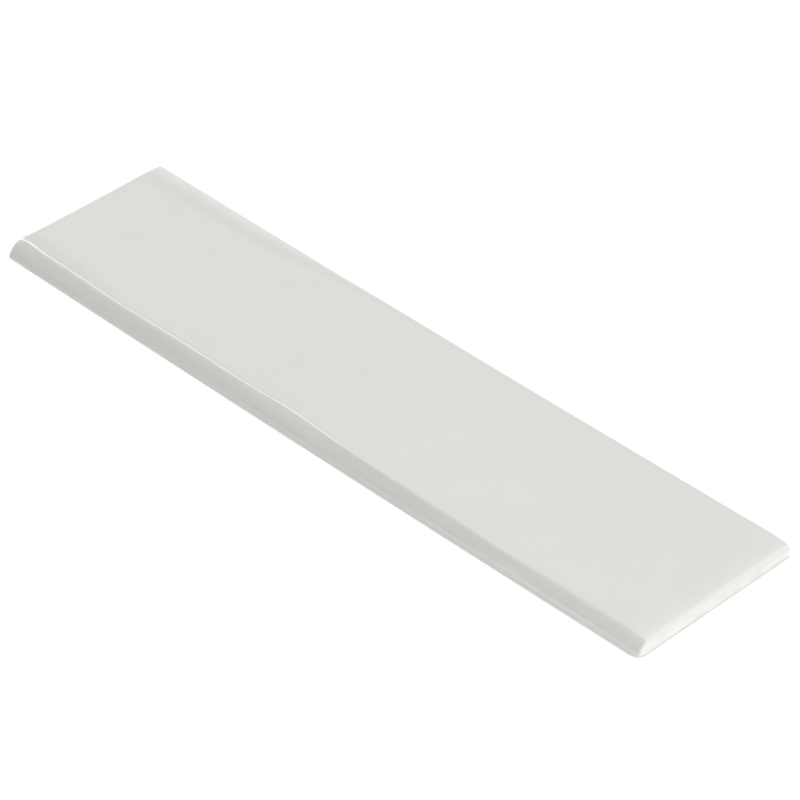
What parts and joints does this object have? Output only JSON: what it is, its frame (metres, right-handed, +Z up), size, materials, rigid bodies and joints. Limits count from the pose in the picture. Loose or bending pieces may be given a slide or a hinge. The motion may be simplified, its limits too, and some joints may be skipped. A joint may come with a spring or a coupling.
{
  "type": "bullnose wall tile",
  "caption": "Slim glazed ceramic wall tile with one long edge rounded over as a bullnose, eased ends and a keyed back for adhesive.",
  "frame": {"origin": "middle of the underside, on the bonding plane", "axes": "+X along the tile, +Y from the rounded nose towards the straight edge, +Z up out of the glazed face"},
  "size_m": [0.3, 0.0718, 0.006],
  "materials": {
    "glazed_body": "glossy pale grey-white glaze over a cream-white fired body, bare on the ends, the straight edge and the back"
  },
  "bodies": {
    "root": {"bullnose_tile": "glazed_body"}
  },
  "joints": []
}
